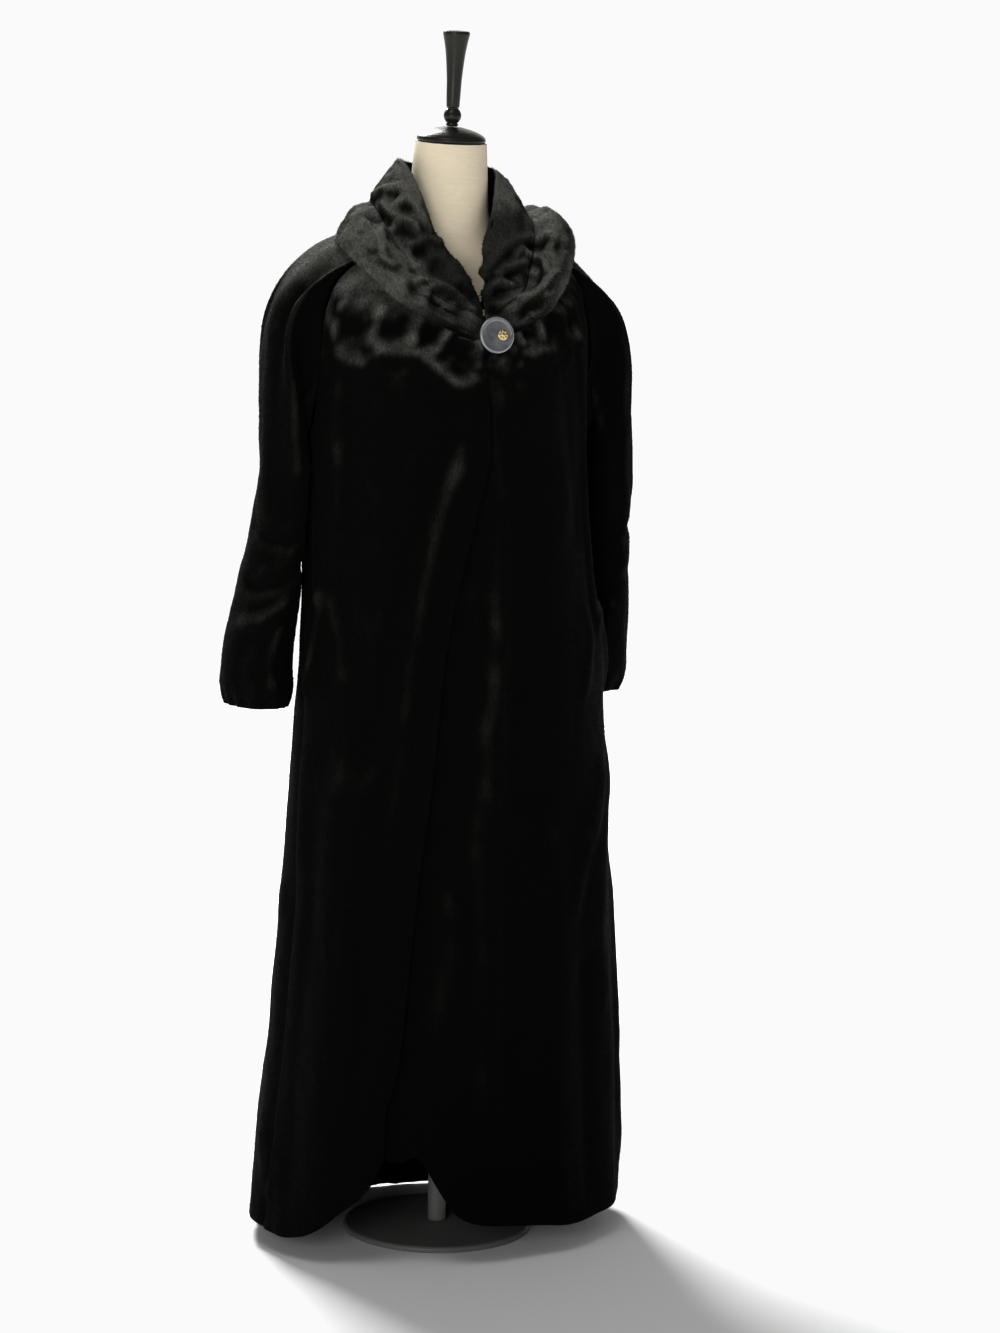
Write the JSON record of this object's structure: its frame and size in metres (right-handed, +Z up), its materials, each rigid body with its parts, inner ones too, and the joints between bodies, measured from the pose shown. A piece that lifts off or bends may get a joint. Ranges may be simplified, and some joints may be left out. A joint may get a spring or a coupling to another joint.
{
  "type": "hooded faux fur coat on a dress form",
  "caption": "Long black hooded faux fur coat with a gathered rolled hood collar and one large round button, standing on a linen dress form with a turned finial, pole and round base.",
  "frame": {"origin": "centre of the underside of the stand's round base, on the floor", "axes": "+Z up, the coat's front faces -Y, the wearer's right side is -X"},
  "size_m": [0.594, 0.4215, 1.6395],
  "materials": {
    "fur": "short dense black plush pile with a grey sheen on surfaces that face up",
    "pocket_cloth": "plain black woven",
    "button_resin": "smoky grey translucent, polished, pale rim",
    "inlay_metal": "polished pale gold",
    "loop_cord": "black cord",
    "form_linen": "natural linen, plain weave",
    "black_lacquer": "black gloss lacquer on turned wood",
    "stand_paint": "dark grey satin paint"
  },
  "bodies": {
    "root": {"back": "fur", "front_right": "fur", "front_left": "fur", "sleeve_right": "fur", "sleeve_left": "fur", "hood_inner_right": "fur", "hood_inner_left": "fur", "hood_border_right": "fur", "hood_border_left": "fur", "pocket_bag_right": "pocket_cloth", "pocket_bag_left": "pocket_cloth", "button": "button_resin", "button_inlay": "inlay_metal", "button_loop": "loop_cord", "form_torso": "form_linen", "form_cap": "black_lacquer", "form_finial": "black_lacquer", "stand_pole": "stand_paint", "stand_base": "stand_paint"}
  },
  "joints": []
}
